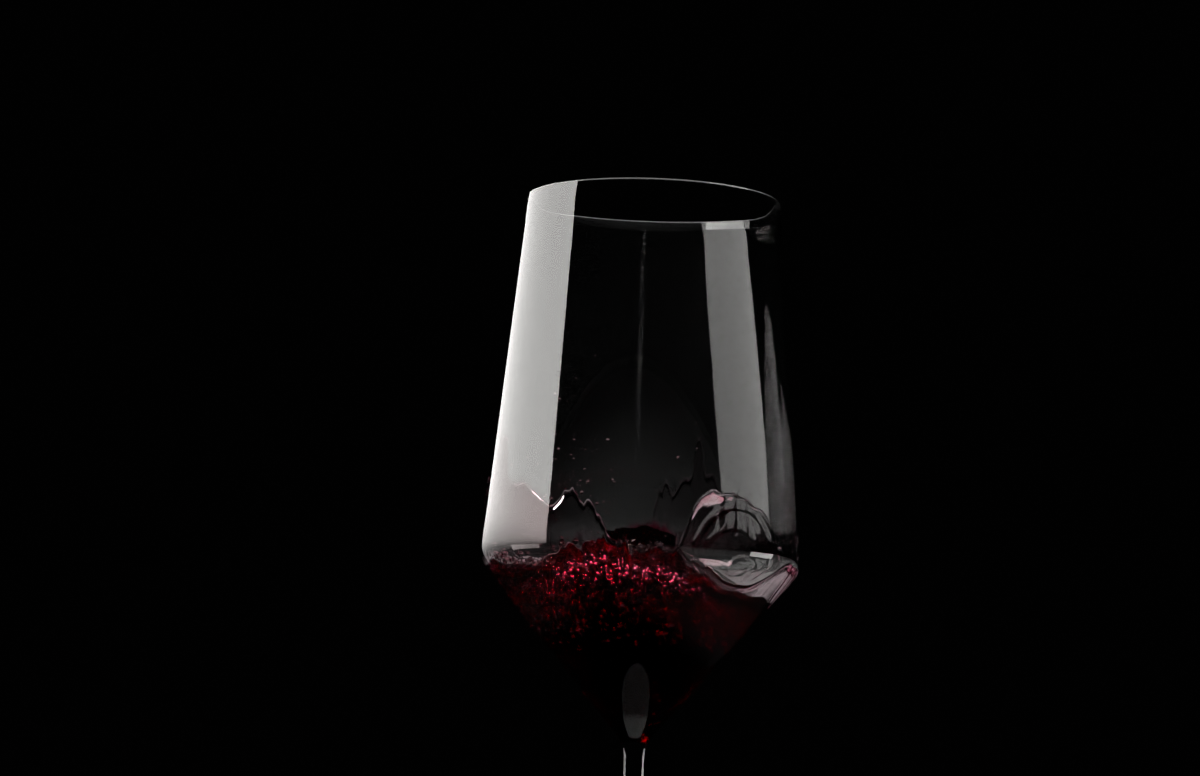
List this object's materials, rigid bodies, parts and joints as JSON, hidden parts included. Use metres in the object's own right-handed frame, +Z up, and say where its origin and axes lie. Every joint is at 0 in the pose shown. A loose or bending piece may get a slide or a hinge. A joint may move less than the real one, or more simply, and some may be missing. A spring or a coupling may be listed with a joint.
{
  "type": "glass of red wine",
  "caption": "Tall stemmed glass with straight leaning walls and a cone-shaped bowl base, holding freshly poured red wine with a choppy surface.",
  "frame": {"origin": "centre of the foot's flat ring, on the floor", "axes": "+Z up along the stem; +X to the right, where the wine lies lowest; -Y towards the viewer"},
  "size_m": [0.095, 0.095, 0.245],
  "materials": {
    "clear_glass": "polished clear crystal glass",
    "red_wine": "very dark red wine, clear only where it is thin"
  },
  "bodies": {
    "root": {"wine_glass": "clear_glass", "red_wine": "red_wine"}
  },
  "joints": []
}
